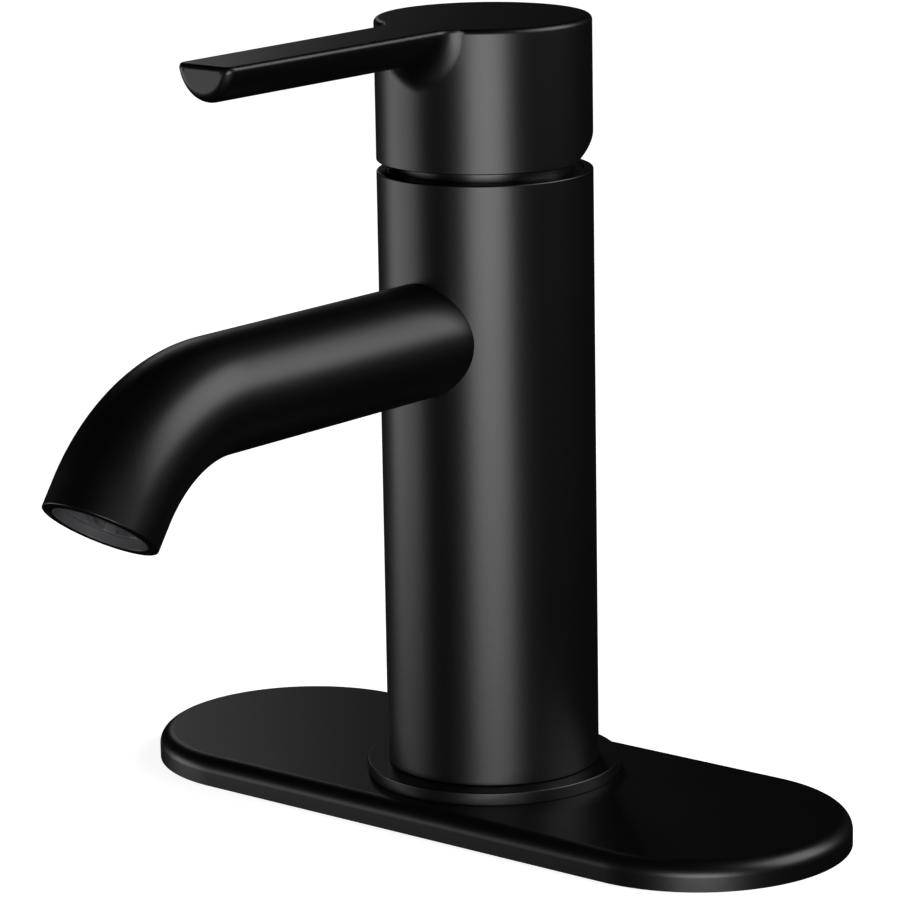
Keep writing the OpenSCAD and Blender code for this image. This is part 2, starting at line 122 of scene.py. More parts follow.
class MixerSizes(bpy.types.PropertyGroup):
    """Sizes of the finished pieces."""
    plate_round: length_property("Plate rounding", "Rounding of the plate's upper edge", 3.2 * MM)
    plate_rim: length_property("Plate rim", "Width of the plate's rim on the deck", 3.6 * MM)
    plate_wall: length_property("Plate wall", "Thickness of the plate's top", 2.4 * MM)
    plate_bore: length_property("Plate bore", "Radius of the hole for the column's spigot", 18.2 * MM)
    ring_edge: length_property("Ring edge", "Rounding of the base ring's upper edge", 0.35 * MM)
    column_wall: length_property("Column wall", "Wall of the column's tube", 2 * MM)
    column_edge: length_property("Column edge", "Rounding of the column's ends", 0.35 * MM)
    tube_r: length_property("Spout radius", "Outer radius of the spout", 11.9 * MM)
    tube_wall: length_property("Spout wall", "Wall of the spout", 2.4 * MM)
    bend_r: length_property("Bend radius", "Radius of the spout's bend at its centre line", 35.8 * MM)
    rim_edge: length_property("Spout rim rounding", "Rounding of the spout's outer rim", 0.3 * MM)
    socket_depth: length_property("Socket depth", "Depth of the aerator's socket", 10.5 * MM)
    socket_gap: length_property("Socket gap", "Gap round the aerator's housing", 0.1 * MM)
    aerator_wall: length_property("Aerator wall", "Wall of the aerator's housing", 0.5 * MM)
    aerator_recess: length_property("Aerator recess", "Depth of the aerator's face", 1.8 * MM)
    aerator_length: length_property("Aerator length", "Length of the aerator's housing", 9 * MM)
    insert_height: length_property("Insert height", "Height of the aerator's insert", 1.6 * MM)
    insert_rim: length_property("Insert rim", "Width of the insert's rim", 0.8 * MM)
    bar_width: length_property("Bar width", "Width of each bar in the outlet", 1.3 * MM)
    bar_gap: length_property("Bar gap", "Distance between the two bars' centres", 6 * MM)
    bar_angle: angle_property("Bar angle", "Turn of the bars in the outlet", 60)
    mesh_pitch: length_property("Mesh pitch", "Distance between the screen's wires", 0.95 * MM)
    wire_r: length_property("Wire radius", "Radius of the screen's wires", 0.17 * MM)
    neck_r: length_property("Neck radius", "Radius of the bonnet's neck", 17.8 * MM)
    neck_round: length_property("Neck rounding", "Rounding of the neck's upper edge", 1.2 * MM)
    neck_bore: length_property("Neck bore", "Radius of the opening in the bonnet's roof", 13.5 * MM)
    flange_height: length_property("Flange height", "Height of the bonnet's flange", 3 * MM)
    head_wall: length_property("Head wall", "Side wall of the handle's head", 2.5 * MM)
    head_roof: length_property("Head roof", "Top wall of the handle's head", 4 * MM)
    head_edge: length_property("Head edge", "Rounding of the head's top edge", 1.1 * MM)
    lever_r: length_property("Lever radius", "Radius of the half-round lever", 8 * MM)
    lever_sink: length_property("Lever sink", "How far the flat top lies below the bar's centre", 0.5 * MM)
    lever_edge: length_property("Lever edge", "Rounding of the lever's long upper edges", 1.1 * MM)
    root_bury: length_property(
        "Root bury", "How far the lever's flare carries on sideways in the head's wall", 2 * MM)
    tip_edge: length_property("Tip rounding", "Rounding of the lever's tip", 2.3 * MM)
    tip_taper: share_property("Tip taper", "The lever's width at its tip, as a share of its root's", 0.91)
    root_side: length_property(
        "Root fillet at the top", "Fillet where the lever's top edge meets the head", 2.9 * MM)
    root_belly: length_property(
        "Root fillet below", "Fillet where the lever's belly meets the head", 6.1 * MM)
    relief_start: length_property("Relief start", "Where the cut under the head starts", 0.9 * MM)
    relief_angle: angle_property("Relief angle", "Slope of the cut under the head", 23.5)
    boss_r: length_property("Boss radius", "Radius of the stem's boss inside the head", 9 * MM)
    boss_lift: length_property("Boss lift", "Height of the boss's foot above the head's", 7.5 * MM)
    plug_gap: length_property("Plug gap", "Gap round the index plug", 0.1 * MM)


class MixerColours(bpy.types.PropertyGroup):
    """Colours of the finishes, as linear values."""
    black: colour_property("Satin black", "Powder coat of the outer pieces", (0.0006, 0.0006, 0.0006))
    bonnet: colour_property("Bonnet black", "Coat of the bonnet", (0.0016, 0.0016, 0.0017))
    brass: colour_property("Brass", "Cast and turned brass", (0.50, 0.33, 0.12))
    steel: colour_property("Steel", "Pins, screws and the screen", (0.46, 0.46, 0.47))
    rubber: colour_property("Rubber", "Seals", (0.012, 0.012, 0.012))
    ceramic: colour_property("Ceramic", "Valve discs", (0.80, 0.77, 0.70))
    white_plastic: colour_property("White plastic", "Cartridge", (0.66, 0.65, 0.61))
    natural_plastic: colour_property("Natural plastic", "Disc carrier", (0.50, 0.48, 0.41))
    blue_plastic: colour_property("Blue plastic", "Carriage", (0.035, 0.10, 0.28))
    red_plastic: colour_property("Red plastic", "Limit ring", (0.42, 0.02, 0.018))
    grey_plastic: colour_property("Grey plastic", "Stem sleeve", (0.18, 0.18, 0.19))
    dark_plastic: colour_property("Dark plastic", "Index plug", (0.020, 0.020, 0.022))
    aerator: colour_property("Aerator grey", "Aerator's housing and bars", (0.085, 0.086, 0.09))
    foam: colour_property("Foam", "Deck gasket", (0.018, 0.018, 0.018))
    floor: colour_property("Floor", "Pale floor", (0.92, 0.92, 0.92))


class MixerStage(bpy.types.PropertyGroup):
    """Where the camera stands, and how large the floor is."""
    azimuth: angle_property("Azimuth", "Turn of the camera round the mixer", 39.399)
    elevation: angle_property("Elevation", "Height angle of the camera", 13.273)
    roll: angle_property("Roll", "Roll of the camera", -0.977)
    distance: length_property("Distance", "Camera to the point that it looks at", 0.897787)
    aside: bpy.props.FloatProperty(
        name="Aside", description="How far beside the column the camera looks",
        default=-0.008227, unit="LENGTH")
    height: length_property("Height", "Height that the camera looks at", 0.075892)
    lens: bpy.props.FloatProperty(
        name="Lens", description="Focal length in millimetres", default=170.81, min=1)
    floor_size: length_property("Floor size", "Side of the square floor", 14)


# ---------------------------------------------------------------------------
# Modelling helpers
# ---------------------------------------------------------------------------

def deselect():
    if bpy.context.object and bpy.context.object.mode == "EDIT":
        bpy.ops.object.mode_set(mode="OBJECT")
    bpy.ops.object.select_all(action="DESELECT")


def choose(*pieces):
    """Selects these pieces alone, the first one active."""
    deselect()
    for piece in pieces:
        piece.select_set(True)
    bpy.context.view_layer.objects.active = pieces[0]


def settle(piece):
    """Puts the piece's place into its mesh."""
    choose(piece)
    bpy.ops.object.transform_apply(location=True, rotation=True, scale=True)


def added(name):
    piece = bpy.context.object
    piece.name = name
    piece.data.name = name
    return piece


class Editing:
    """Edit mode on one piece, with its elements picked by their place."""

    def __init__(self, piece):
        self.piece = piece

    def __enter__(self):
        choose(self.piece)
        bpy.ops.object.mode_set(mode="EDIT")
        return self

    def __exit__(self, *stopped):
        bpy.ops.object.mode_set(mode="OBJECT")

    def pick(self, kind, test):
        """Selects the vertices, edges or faces that all lie where test says. Returns how many."""
        bpy.ops.mesh.select_mode(type=kind)
        bpy.ops.mesh.select_all(action="DESELECT")
        mesh = bmesh.from_edit_mesh(self.piece.data)
        elements = {"VERT": mesh.verts, "EDGE": mesh.edges, "FACE": mesh.faces}[kind]
        count = 0
        for element in elements:
            points = [element.co] if kind == "VERT" else [v.co for v in element.verts]
            if all(test(p) for p in points):
                element.select_set(True)
                count += 1
        mesh.select_flush_mode()
        bmesh.update_edit_mesh(self.piece.data)
        return count

    def all(self, kind="VERT"):
        bpy.ops.mesh.select_mode(type=kind)
        bpy.ops.mesh.select_all(action="SELECT")

    def pick_along_x(self):
        """Selects the edges that run along X."""
        bpy.ops.mesh.select_mode(type="EDGE")
        mesh = bmesh.from_edit_mesh(self.piece.data)
        for e in mesh.edges:
            e.select_set(abs(e.verts[0].co.x - e.verts[1].co.x) > TINY)
        bmesh.update_edit_mesh(self.piece.data)

    def move(self, shift):
        """Moves every vertex to where shift sends its place."""
        mesh = bmesh.from_edit_mesh(self.piece.data)
        for v in mesh.verts:
            v.co = shift(v.co)
        bmesh.update_edit_mesh(self.piece.data)

    def close_up(self):
        """Merges doubles and turns every face outwards."""
        self.all()
        bpy.ops.mesh.remove_doubles(threshold=MERGE)
        bpy.ops.mesh.normals_make_consistent(inside=False)


def near(a, b):
    return abs(a - b) < TINY


def block(name, low, high):
    """A box from its lowest to its highest corner, which is then shaped or cuts something."""
    low, high = Vector(low), Vector(high)
    deselect()
    bpy.ops.mesh.primitive_cube_add(size=1, location=(low + high) / 2)
    piece = added(name)
    piece.scale = high - low
    settle(piece)
    return piece


def rod(name, r, start, end, sides=SMALL_SIDES):
    """A plain rod between two points."""
    start, end = Vector(start), Vector(end)
    deselect()
    bpy.ops.mesh.primitive_cylinder_add(vertices=sides, radius=r, depth=(end - start).length)
    piece = added(name)
    piece.matrix_world = Matrix.Translation((start + end) / 2) @ (
        (end - start).to_track_quat("Z", "Y").to_matrix().to_4x4())
    settle(piece)
    return piece


def turned(name, r_in, r_out, low, high, top=0, bottom=0, inner=0, cuts=0, sides=SIDES):
    """A ring spun about Z: its section starts as a rectangle, whose corners are rounded."""
    deselect()
    bpy.ops.mesh.primitive_plane_add(
        size=1, location=((r_in + r_out) / 2, 0, (low + high) / 2), rotation=(math.pi / 2, 0, 0))
    piece = added(name)
    piece.scale = (r_out - r_in, high - low, 1)
    settle(piece)
    with Editing(piece) as edit:
        for x, z, r in ((r_out, high, top), (r_out, low, bottom), (r_in, high, inner)):
            if r > 0:
                edit.pick("VERT", lambda p: near(p.x, x) and near(p.z, z))
                bpy.ops.mesh.bevel(
                    offset=r, segments=ROUND_STEPS, affect="VERTICES", clamp_overlap=False)
        if cuts:
            edit.pick("EDGE", lambda p: near(p.x, r_out))
            bpy.ops.mesh.subdivide(number_cuts=cuts)
        spin_round(edit, sides)
    return piece


def spin_round(edit, sides):
    """Spins a flat section, whose faces go, round the Z axis into a closed surface."""
    edit.all("FACE")
    bpy.ops.mesh.delete(type="ONLY_FACE")
    if edit.pick("EDGE", lambda p: near(p.x, 0)):
        bpy.ops.mesh.delete(type="EDGE")
    edit.all()
    bpy.ops.mesh.spin(steps=sides, angle=math.tau, center=(0, 0, 0), axis=(0, 0, 1))
    edit.close_up()


def apply_modifier(piece, kind, **settings):
    choose(piece)
    modifier = piece.modifiers.new(kind.title(), kind)
    for key, value in settings.items():
        setattr(modifier, key, value)
    bpy.ops.object.modifier_apply(modifier=modifier.name)


def carve(piece, tool, operation="DIFFERENCE"):
    """Takes tool away from the piece, or joins it on, and throws the tool away."""
    apply_modifier(piece, "BOOLEAN", operation=operation, solver="EXACT", object=tool)
    bpy.data.objects.remove(tool)


def at_outlet(piece):
    """Moves a piece from the origin, Z up, to the outlet, Z out of the spout."""
    side = Vector((1, 0, 0))
    turn = Matrix((side, OUTLET_WAY.cross(side), OUTLET_WAY)).transposed()
    piece.matrix_world = Matrix.Translation(OUTLET_AT) @ turn.to_4x4()
    settle(piece)


def finish_piece(piece, body, slot, finish, *nodes, smooth=SMOOTH_ANGLE):
    """Smooths a piece, gives it its finish, and puts it on its body in place of CAD nodes."""
    choose(piece)
    bpy.ops.object.shade_smooth_by_angle(angle=smooth)
    apply_modifier(piece, "WEIGHTED_NORMAL", mode="FACE_AREA_WITH_ANGLE", keep_sharp=True)
    piece.data.materials.clear()
    piece.data.materials.append(finish)
    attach(piece, body)
    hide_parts(*nodes)


# ---------------------------------------------------------------------------
# Finishes
# ---------------------------------------------------------------------------

class Signal:
    """A shader socket that can be added, subtracted and multiplied."""

    def __init__(self, finish, socket):
        self.finish = finish
        self.socket = socket

    def math(self, operation, first, second):
        return self.finish.add("ShaderNodeMath", {"operation": operation}, {0: first, 1: second})

    def __add__(self, other):
        return self.math("ADD", self, other)

    def __sub__(self, other):
        return self.math("SUBTRACT", self, other)

    def __rsub__(self, other):
        return self.math("SUBTRACT", other, self)

    def __mul__(self, other):
        return self.math("MULTIPLY", self, other)

    __radd__ = __add__
    __rmul__ = __mul__


class Finish:
    """One material, built node by node."""

    def __init__(self, name):
        self.material = bpy.data.materials.new(name)
        self.material.use_nodes = True
        self.tree = self.material.node_tree
        self.tree.nodes.clear()

    def add(self, kind, settings=None, inputs=None, output=0):
        """Adds a node: its settings are set first, then its sockets get their values or links."""
        node = self.tree.nodes.new(kind)
        for key, value in (settings or {}).items():
            setattr(node, key, value)
        for key, value in (inputs or {}).items():
            if isinstance(value, Signal):
                self.tree.links.new(value.socket, node.inputs[key])
            else:
                node.inputs[key].default_value = value
        return Signal(self, node.outputs[output]) if node.outputs else node

    def place(self):
        return self.add("ShaderNodeTexCoord", output="Object")

    def noise(self, scale, detail=2.0, stretch=None):
        """Noise at so many bumps to the metre."""
        vector = self.place()
        if stretch:
            vector = self.add("ShaderNodeMapping", None, {"Vector": vector, "Scale": stretch})
        return self.add("ShaderNodeTexNoise", None, {"Vector": vector, "Scale": scale, "Detail": detail})

    def blend(self, mask, first, second):
        """Two colours mixed by a mask."""
        return self.add(
            "ShaderNodeMix", {"data_type": "RGBA"},
            {"Factor": mask, 6: (*first, 1), 7: (*second, 1)}, output=2)

    def bump(self, height, distance, strength=1.0):
        return self.add(
            "ShaderNodeBump", None, {"Height": height, "Distance": distance, "Strength": strength})

    def close(self, **inputs):
        """Ends the material with the main shader. Sockets are named with _ for a space."""
        sockets = {key.replace("_", " "): value for key, value in inputs.items()}
        shader = self.add("ShaderNodeBsdfPrincipled", None, sockets)
        self.add("ShaderNodeOutputMaterial", None, {"Surface": shader})
        return self.material


def coat_finish(name, colour, roughness, grain=0.012 * MM):
    """Fine powder coat: satin, with a faint orange peel and slow changes in its sheen."""
    f = Finish(name)
    peel = f.noise(900, 3)
    dust = f.noise(5200, 1)
    drift = f.noise(34, 2)
    tint = [min(1, c * 1.35) for c in colour]
    return f.close(
        Base_Color=f.blend(drift, colour, tint),
        Roughness=roughness - 0.03 + drift * 0.04 + dust * 0.03,
        Normal=f.bump(peel + dust * 0.35, grain),
        Metallic=0.0,
        IOR=1.5,
    )


def metal_finish(name, colour, roughness, scratch=(1, 1, 24), lines=420, depth=0.006 * MM):
    """Turned or drawn metal, with fine tool marks and a slight tarnish."""
    f = Finish(name)
    marks = f.noise(lines, 2, scratch)
    tarnish = f.noise(120, 3)
    dull = [c * 0.62 for c in colour]
    return f.close(
        Base_Color=f.blend(tarnish, dull, colour),
        Roughness=roughness + marks * 0.14,
        Normal=f.bump(marks, depth),
        Metallic=1.0,
    )


def cast_finish(name, colour, roughness):
    """Sand-cast metal with a pebbled skin."""
    f = Finish(name)
    pebbles = f.noise(1300, 4)
    patches = f.noise(60, 2)
    dull = [c * 0.5 for c in colour]
    return f.close(
        Base_Color=f.blend(patches, dull, colour),
        Roughness=roughness + pebbles * 0.2,
        Normal=f.bump(pebbles, 0.05 * MM),
        Metallic=1.0,
    )


def plastic_finish(name, colour, roughness, grain=0.008 * MM):
    """Moulded plastic with a fine spark-eroded texture and soft flow marks."""
    f = Finish(name)
    texture = f.noise(3800, 2)
    flow = f.noise(70, 2)
    deep = [c * 0.86 for c in colour]
    return f.close(
        Base_Color=f.blend(flow, deep, colour),
        Roughness=roughness + texture * 0.12,
        Normal=f.bump(texture, grain),
        Metallic=0.0,
        IOR=1.46,
    )


def rubber_finish(name, colour):
    """Matt rubber with a dusty bloom."""
    f = Finish(name)
    bloom = f.noise(260, 3)
    skin = f.noise(2600, 2)
    dusty = [c * 1.8 + 0.004 for c in colour]
    return f.close(
        Base_Color=f.blend(bloom, colour, dusty),
        Roughness=0.62 + skin * 0.2,
        Normal=f.bump(skin, 0.012 * MM),
        Metallic=0.0,
    )


def foam_finish(name, colour):
    """Closed-cell foam: small pits all over, with painted shade that makes each pit darkest at its centre.
    """
    f = Finish(name)
    pits_and_pit_shade = f.add(
        "ShaderNodeTexVoronoi", {"feature": "F1"}, {"Vector": f.place(), "Scale": 1400.0})
    # painted shade in the pits: the base colour is darkest at each pit's centre, and this 2.2 times
    # lighter colour is the painted lit rims between the pits
    painted_lit_rims = [c * 2.2 for c in colour]
    return f.close(
        # Base Color carries the painted pit shade
        Base_Color=f.blend(pits_and_pit_shade, colour, painted_lit_rims),
        Roughness=0.95 - pits_and_pit_shade * 0.1,
        Normal=f.bump(pits_and_pit_shade, 0.12 * MM),
        Metallic=0.0,
    )


def ceramic_finish(name, colour):
    """Lapped ceramic: glossy, faintly mottled."""
    f = Finish(name)
    mottle = f.noise(700, 3)
    deep = [c * 0.93 for c in colour]
    return f.close(
        Base_Color=f.blend(mottle, deep, colour),
        Roughness=0.12 + mottle * 0.08,
        Normal=f.bump(mottle, 0.001 * MM),
        Metallic=0.0,
        IOR=1.7,
    )


def make_finishes(colours):
    """Every finish, under the name of its slot in the record."""
    c = {key: tuple(getattr(colours, key)) for key in MixerColours.__annotations__}
    return {
        "satin_black": coat_finish("satin_black", c["black"], 0.355),
        "bonnet_black": coat_finish("bonnet_black", c["bonnet"], 0.34),
        "cast_brass": cast_finish("cast_brass", c["brass"], 0.38),
        "turned_brass": metal_finish("turned_brass", c["brass"], 0.22),
        "seal_rubber": rubber_finish("seal_rubber", c["rubber"]),
        "foam_rubber": foam_finish("foam_rubber", c["foam"]),
        "valve_ceramic": ceramic_finish("valve_ceramic", c["ceramic"]),
        "white_plastic": plastic_finish("white_plastic", c["white_plastic"], 0.36),
        "natural_plastic": plastic_finish("natural_plastic", c["natural_plastic"], 0.40),
        "blue_plastic": plastic_finish("blue_plastic", c["blue_plastic"], 0.36),
        "red_plastic": plastic_finish("red_plastic", c["red_plastic"], 0.36),
        "grey_plastic": plastic_finish("grey_plastic", c["grey_plastic"], 0.42),
        "black_plastic": plastic_finish("black_plastic", c["dark_plastic"], 0.30),
        "aerator_grey": plastic_finish("aerator_grey", c["aerator"], 0.30),
        "screen_steel": metal_finish("screen_steel", c["steel"], 0.28, (1, 1, 1), 2400, 0.002 * MM),
        "pin_steel": metal_finish("pin_steel", c["steel"], 0.24),
    }


FINISHES = {}


# ---------------------------------------------------------------------------
# Pieces
# ---------------------------------------------------------------------------

class MIXER_OT_finishes(bpy.types.Operator):
    """Make every finish, and give the CAD nodes that stay theirs"""
    bl_idname = "mixer.finishes"
    bl_label = "Finishes"

    def execute(self, context):
        FINISHES.update(make_finishes(context.scene.mixer_colours))
        for part in frame["record"]["subparts"]:
            node = frame["nodes"][part["node"]]
            node.data.materials.clear()
            node.data.materials.append(FINISHES[part["material_slot"]])
        return {"FINISHED"}


class MIXER_OT_deck_plate(bpy.types.Operator):
    """Make the plate that covers the sink's holes: round ends, rounded edge, hollow underneath"""
    bl_idname = "mixer.deck_plate"
    bl_label = "Deck plate"

    def execute(self, context):
        s = context.scene.mixer_sizes
        height = PLATE_HIGH.z - PLATE_LOW.z
        cavity = height - s.plate_wall
        plate = self.long_slab("cover_plate", PLATE_HIGH.y, PLATE_HIGH.x, PLATE_LOW.z, PLATE_HIGH.z)
        with Editing(plate) as edit:
            edit.pick("EDGE", lambda p: near(p.z, PLATE_HIGH.z))
            bpy.ops.mesh.bevel(offset=s.plate_round, segments=10, affect="EDGES", clamp_overlap=False)
            edit.pick("FACE", lambda p: near(p.z, PLATE_LOW.z))
            bpy.ops.mesh.inset(thickness=s.plate_rim, depth=0)
            bpy.ops.mesh.extrude_region_move(TRANSFORM_OT_translate={"value": (0, 0, cavity)})
            edit.close_up()
        carve(plate, rod(
            "bore", s.plate_bore, (0, 0, -OVER), (0, 0, PLATE_HIGH.z + OVER), SIDES))
        finish_piece(plate, "mixer_body", "satin_black", FINISHES["satin_black"], "deck_plate")
        return {"FINISHED"}

    def long_slab(self, name, r, half_length, low, high):
        """A slab with round ends: a cylinder whose two halves are drawn apart."""
        deselect()
        bpy.ops.mesh.primitive_cylinder_add(
            vertices=SIDES, radius=r, depth=high - low, location=(0, 0, (low + high) / 2),
            rotation=(0, 0, math.pi / SIDES))
        slab = added(name)
        settle(slab)
        apart = half_length - r
        with Editing(slab) as edit:
            for side in (-1, 1):
                edit.pick("VERT", lambda p: p.x * side > 0 and abs(p.x) < r + TINY)
                bpy.ops.transform.translate(value=(side * apart, 0, 0))
        return slab


class MIXER_OT_base_ring(bpy.types.Operator):
    """Make the ring that the column stands on"""
    bl_idname = "mixer.base_ring"
    bl_label = "Base ring"

    def execute(self, context):
        s = context.scene.mixer_sizes
        ring = turned(
            "foot_ring", s.plate_bore, RING_HIGH.x, RING_LOW.z, RING_HIGH.z,
            top=s.ring_edge, bottom=s.ring_edge / 2)
        finish_piece(ring, "mixer_body", "satin_black", FINISHES["satin_black"], "base_ring")
        return {"FINISHED"}


class MIXER_OT_column(bpy.types.Operator):
    """Make the column's tube, with the hole that the spout's water comes through"""
    bl_idname = "mixer.column"
    bl_label = "Column"

    def execute(self, context):
        s = context.scene.mixer_sizes
        column = turned(
            "column_tube", BODY_R - s.column_wall, BODY_R, SHELL_LOW.z, SHELL_HIGH.z,
            top=s.column_edge, bottom=s.column_edge, cuts=40)
        axis_z = spout_axis_z(s)
        carve(column, rod(
            "bore", s.tube_r - s.tube_wall, (0, 0, axis_z), (0, -BODY_R - OVER, axis_z)))
        finish_piece(column, "mixer_body", "satin_black", FINISHES["satin_black"], "body_shell")
        return {"FINISHED"}


def spout_axis_z(s):
    return SPOUT_TOP - s.tube_r


class MIXER_OT_spout(bpy.types.Operator):
    """Make the bent spout: a disc drawn out, spun round the bend and drawn out again, then bored"""
    bl_idname = "mixer.spout"
    bl_label = "Spout"

    def execute(self, context):
        s = context.scene.mixer_sizes
        spout = self.bent_bar(s, "spout_tube", s.tube_r, 0)
        carve(spout, self.bent_bar(s, "bore", s.tube_r - s.tube_wall, OVER))
        carve(spout, rod("cope", BODY_R, (0, 0, 0), (0, 0, SHELL_HIGH.z), SIDES))
        carve(spout, rod(
            "socket", HOUSING_R + s.socket_gap, OUTLET_AT - OUTLET_WAY * s.socket_depth,
            OUTLET_AT + OUTLET_WAY * OVER, SMALL_SIDES))
        with Editing(spout) as edit:
            edit.pick("EDGE", lambda p: self.on_rim(p, s.tube_r))
            bpy.ops.mesh.bevel(offset=s.rim_edge, segments=4, affect="EDGES")
        finish_piece(spout, "mixer_body", "satin_black", FINISHES["satin_black"], "spout")
        return {"FINISHED"}

    def bent_bar(self, s, name, r, short):
        """A round bar from inside the column, round the bend, to short of the outlet."""
        axis_z = spout_axis_z(s)
        drop = axis_z - OUTLET_AT.z
        tail = (drop - s.bend_r * (1 - math.cos(BEND_ANGLE))) / math.sin(BEND_ANGLE)
        run = -OUTLET_AT.y - s.bend_r * math.sin(BEND_ANGLE) - tail * math.cos(BEND_ANGLE)
        start_y = short - BODY_R / 2
        deselect()
        bpy.ops.mesh.primitive_circle_add(
            vertices=TUBE_SIDES, radius=r, fill_type="NGON", location=(0, start_y, axis_z),
            rotation=(math.pi / 2, 0, 0))
        bar = added(name)
        settle(bar)
        with Editing(bar) as edit:
            edit.all("FACE")
            bpy.ops.mesh.extrude_region_move(
                TRANSFORM_OT_translate={"value": (0, -run - start_y, 0)})
            bpy.ops.mesh.spin(
                steps=BEND_STEPS, angle=BEND_ANGLE, center=(0, -run, axis_z - s.bend_r), axis=(-1, 0, 0))
            bpy.ops.mesh.extrude_region_move(
                TRANSFORM_OT_translate={"value": OUTLET_WAY * (tail - short)})
            edit.close_up()
        return bar

    def on_rim(self, point, r):
        away = point - OUTLET_AT
        along = away.dot(OUTLET_WAY)
        return abs(along) < 0.01 * MM and abs((away - along * OUTLET_WAY).length - r) < 0.05 * MM


class MIXER_OT_aerator(bpy.types.Operator):
    """Make the aerator: its housing, the insert with its two bars, and the woven screen"""
    bl_idname = "mixer.aerator"
    bl_label = "Aerator"

    def execute(self, context):
        s = context.scene.mixer_sizes
        self.housing(s)
        self.insert(s)
        self.screen(s)
        return {"FINISHED"}

    def housing(self, s):
        edge = 0.15 * MM
        housing = turned(
            "aerator_shell", HOUSING_R - s.aerator_wall, HOUSING_R, -s.aerator_length, 0,
            top=edge, inner=edge, sides=SMALL_SIDES * 2)
        at_outlet(housing)
        finish_piece(housing, "mixer_body", "aerator_grey", FINISHES["aerator_grey"], "aerator_housing")

    def insert(self, s):
        high = -s.aerator_recess
        low = high - s.insert_height
        edge = 0.35 * MM
        insert = turned(
            "aerator_bars", SCREEN_R - s.insert_rim, HOUSING_R - s.aerator_wall, low, high,
            inner=edge, sides=SMALL_SIDES * 2)
        for side in (-1, 1):
            carve(insert, self.bar(s, side, low, high), "UNION")
        insert.rotation_euler = (0, 0, s.bar_angle)
        settle(insert)
        at_outlet(insert)
        finish_piece(insert, "mixer_body", "aerator_grey", FINISHES["aerator_grey"], "aerator_insert")

    def bar(self, s, side, low, high):
        """One bar across the outlet, wider where it runs into the rim."""
        middle = side * s.bar_gap / 2
        reach = math.sqrt((SCREEN_R - s.insert_rim / 2) ** 2 - middle ** 2)
        flare_l = 2.6 * MM
        flare_w = 1.1 * MM
        above = 0.1 * MM            # how far the bar stays above the insert's lower face
        below = 0.15 * MM           # and below its upper face
        bar = block(
            "bar", (-reach, middle - s.bar_width / 2, low + above),
            (reach, middle + s.bar_width / 2, high - below))

        def flared(p):
            into = max(0, abs(p.x) - reach + flare_l) / flare_l
            outwards = 1 if p.y > middle else -1
            return Vector((p.x, p.y + outwards * flare_w * into ** 2, p.z))

        with Editing(bar) as edit:
            edit.pick_along_x()
            bpy.ops.mesh.subdivide(number_cuts=31)
            edit.move(flared)
        return bar

    def screen(self, s):
        """Wires that pass over and under each other, cut off at a circle."""
        margin = 0.3 * MM           # from the wires' ends to the screen's edge
        reach = SCREEN_R - margin
        count = int(reach / s.mesh_pitch)
        wires = []
        for turn in (0, 1):
            for row in range(-count, count + 1):
                wires.append(self.wire(s, row, turn, reach))
        choose(*wires)
        bpy.ops.object.join()
        screen = added("aerator_mesh")
        settle(screen)
        at_outlet(screen)
        finish_piece(screen, "mixer_body", "screen_steel", FINISHES["screen_steel"], "aerator_screen")

    def wire(self, s, row, turn, reach):
        """One wire, waved so that it passes over and under those that cross it."""
        offset = row * s.mesh_pitch
        half = math.sqrt(reach ** 2 - offset ** 2)
        depth = -s.aerator_recess - s.insert_height - 1.7 * s.wire_r
        wire = rod("wire", s.wire_r, (-half, 0, 0), (half, 0, 0), 6)
        steps = max(4, int(8 * half / s.mesh_pitch))
        with Editing(wire) as edit:
            edit.pick_along_x()
            bpy.ops.mesh.subdivide(number_cuts=steps)
            phase = math.pi * (row + turn)
            edit.move(lambda p: Vector((
                p.x, p.y + offset,
                p.z + depth + s.wire_r * math.cos(math.pi * p.x / s.mesh_pitch + phase))))
        wire.rotation_euler = (0, 0, turn * math.pi / 2)
        settle(wire)
        return wire


class MIXER_OT_bonnet(bpy.types.Operator):
    """Make the bonnet, whose neck shows in the gap below the handle"""
    bl_idname = "mixer.bonnet"
    bl_label = "Bonnet"

    def execute(self, context):
        s = context.scene.mixer_sizes
        roof = 1.2 * MM
        neck_wall = 1.6 * MM
        bore_edge = 0.4 * MM
        flange_edge = 0.25 * MM
        bonnet = turned(
            "bonnet_cap", s.neck_bore, s.neck_r, BONNET_LOW.z, BONNET_HIGH.z,
            top=s.neck_round, inner=bore_edge)
        flange = turned(
            "flange", s.neck_r - OVER, BONNET_HIGH.x, BONNET_LOW.z, BONNET_LOW.z + s.flange_height,
            top=flange_edge)
        carve(bonnet, flange, "UNION")
        carve(bonnet, turned(
            "hollow", s.neck_bore - OVER, s.neck_r - neck_wall,
            BONNET_LOW.z - OVER, BONNET_HIGH.z - roof))
        finish_piece(bonnet, "mixer_body", "bonnet_black", FINISHES["bonnet_black"], "bonnet")
        return {"FINISHED"}


def angles(steps, end=math.pi / 2):
    """Angles from 0 to end."""
    return [end * k / steps for k in range(steps + 1)]


